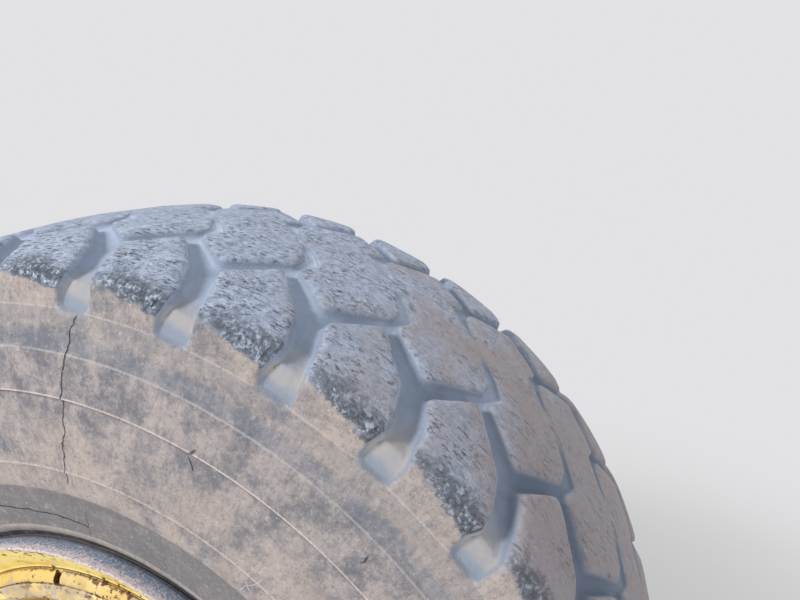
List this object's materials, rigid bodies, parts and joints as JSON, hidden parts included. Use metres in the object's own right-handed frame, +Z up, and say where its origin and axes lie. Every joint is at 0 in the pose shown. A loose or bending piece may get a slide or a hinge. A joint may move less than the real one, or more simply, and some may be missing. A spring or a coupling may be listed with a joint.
{
  "type": "dump truck wheel",
  "caption": "Earthmover drive wheel with a worn block-tread tyre, five-piece rim, planetary hub and disc brake, on the flanged axle end that carries it.",
  "frame": {"origin": "the middle of the axle end's mounting face, on the wheel's axis", "axes": "+Y along the axle from the wheel to the mounting face, so the wheel's outer face looks towards -Y; +Z up"},
  "size_m": [1.5992, 0.621, 1.5992],
  "materials": {
    "tyre_rubber": "worn, dusty rubber",
    "rim_paint": "chipped yellow paint, worn to grey steel at the edges",
    "hub_paint": "dusty, rust-spotted yellow paint",
    "fastener_steel": "rusty, dusty steel",
    "brake_iron": "rusted cast iron",
    "axle_iron": "dusty cast iron with old paint",
    "pad_steel": "dark pad with a steel back",
    "pipe_steel": "dull coated pipe",
    "valve_brass": "tarnished",
    "valve_plastic": "matt black"
  },
  "bodies": {
    "axle": {"axle_end": "axle_iron", "caliper_bracket": "axle_iron", "front_caliper": "brake_iron", "rear_caliper": "brake_iron", "brake_pads": "pad_steel", "caliper_bolts": "fastener_steel", "brake_pipe": "pipe_steel", "bleed_screws": "fastener_steel"},
    "wheel": {"tyre": "tyre_rubber", "rim_base": "rim_paint", "back_flange": "rim_paint", "front_flange": "rim_paint", "bead_seat_band": "rim_paint", "lock_ring": "rim_paint", "wheel_disc": "rim_paint", "wheel_studs": "fastener_steel", "wheel_nuts": "fastener_steel", "hub_drum": "hub_paint", "planet_housing": "hub_paint", "planet_gears": "fastener_steel", "planet_bolts": "fastener_steel", "end_cover": "hub_paint", "cover_bolts": "fastener_steel", "oil_plugs": "fastener_steel", "brake_disc": "brake_iron", "brake_disc_bolts": "fastener_steel", "valve_stem": "valve_brass", "valve_cap": "valve_plastic"}
  },
  "joints": [
    {"name": "wheel_spin", "type": "hinge", "parent": "axle", "child": "wheel", "pos_m": [0, -0.33, 0], "axis": [0, 1, 0], "continuous": true}
  ]
}
